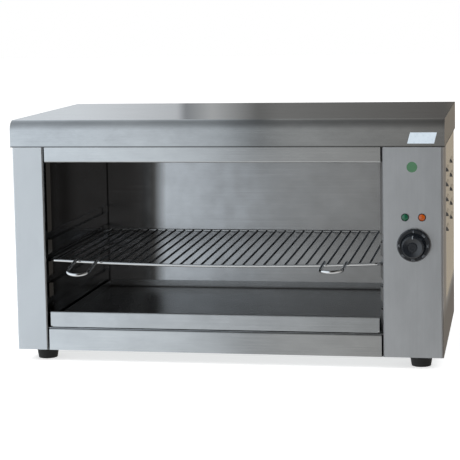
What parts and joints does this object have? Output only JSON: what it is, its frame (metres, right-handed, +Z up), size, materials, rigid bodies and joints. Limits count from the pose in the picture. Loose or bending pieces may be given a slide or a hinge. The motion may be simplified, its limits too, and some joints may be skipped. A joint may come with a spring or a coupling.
{
  "type": "salamander grill",
  "caption": "Open-fronted electric salamander grill: louvred stainless casing, heating tubes under the top, wire rack in grooved walls, pull-out crumb tray, thermostat dial and pilot lamps.",
  "frame": {"origin": "on the surface that the feet stand on, at the middle of the whole part's plan, rack handles and cord gland included", "axes": "+Z up, front facing -Y, +X to the right of a person facing the front"},
  "size_m": [0.613, 0.4146, 0.349],
  "materials": {
    "brushed_stainless": "brushed along the length of each sheet",
    "galvanised_sheet": "galvanised sheet, matt",
    "chamber_steel": "brushed stainless, slightly heat tinted",
    "reflector_sheet": "bright aluminised sheet",
    "chromed_wire": "bright chromium plate on steel wire",
    "tube_sheath": "oxidised heat resisting steel",
    "brass": "turned brass",
    "zinc_plated": "zinc plated steel",
    "white_ceramic": "unglazed steatite",
    "cream_phenolic": "moulded phenolic",
    "copper_tube": "drawn copper",
    "black_phenolic": "moulded black phenolic, satin",
    "green_lens": "translucent green moulding",
    "amber_lens": "translucent amber moulding",
    "black_nylon": "moulded black nylon",
    "black_rubber": "moulded black rubber"
  },
  "bodies": {
    "casing": {"top_cover": "brushed_stainless", "left_side_panel": "brushed_stainless", "right_side_panel": "brushed_stainless", "control_panel": "brushed_stainless", "upper_front_rail": "brushed_stainless", "lower_front_rail": "brushed_stainless", "back_panel": "brushed_stainless", "base_plate": "galvanised_sheet", "left_liner": "chamber_steel", "right_liner": "chamber_steel", "back_liner": "chamber_steel", "chamber_floor": "chamber_steel", "ceiling_reflector": "reflector_sheet", "front_heating_tube": "tube_sheath", "rear_heating_tube": "tube_sheath", "tube_bushings": "brass", "tube_locknuts": "zinc_plated", "tube_insulators": "white_ceramic", "tube_terminals": "zinc_plated", "left_tube_hanger": "galvanised_sheet", "right_tube_hanger": "galvanised_sheet", "thermostat_body": "cream_phenolic", "thermostat_screws": "zinc_plated", "capillary_tube": "copper_tube", "sensor_bulb": "copper_tube", "sensor_clips": "galvanised_sheet", "green_lamp_lens": "green_lens", "amber_lamp_lens": "amber_lens", "green_lamp_holder": "black_nylon", "amber_lamp_holder": "black_nylon", "lamp_nuts": "zinc_plated", "terminal_block": "white_ceramic", "terminal_screws": "brass", "cord_gland": "black_nylon", "gland_locknut": "black_nylon", "earth_stud": "brass", "earth_nuts": "brass", "front_left_foot": "black_rubber", "front_right_foot": "black_rubber", "rear_left_foot": "black_rubber", "rear_right_foot": "black_rubber", "foot_screws": "zinc_plated", "foot_nuts": "zinc_plated", "back_panel_screws": "zinc_plated", "cover_screws": "zinc_plated"},
    "rack": {"rack_rim": "chromed_wire", "rack_bars": "chromed_wire", "rack_handle_left": "chromed_wire", "rack_handle_right": "chromed_wire"},
    "tray": {"crumb_tray": "brushed_stainless"},
    "dial": {"control_knob": "black_phenolic", "thermostat_shaft": "zinc_plated"}
  },
  "joints": [
    {"name": "rack_slide", "type": "slide", "parent": "casing", "child": "rack", "axis": [0, -1, 0], "range_m": [0, 0.33]},
    {"name": "tray_slide", "type": "slide", "parent": "casing", "child": "tray", "axis": [0, -1, 0], "range_m": [0, 0.33]},
    {"name": "dial_turn", "type": "hinge", "parent": "casing", "child": "dial", "pos_m": [0.2625, -0.15266, 0.174], "axis": [0, 1, 0], "range_deg": [0, 315]}
  ]
}
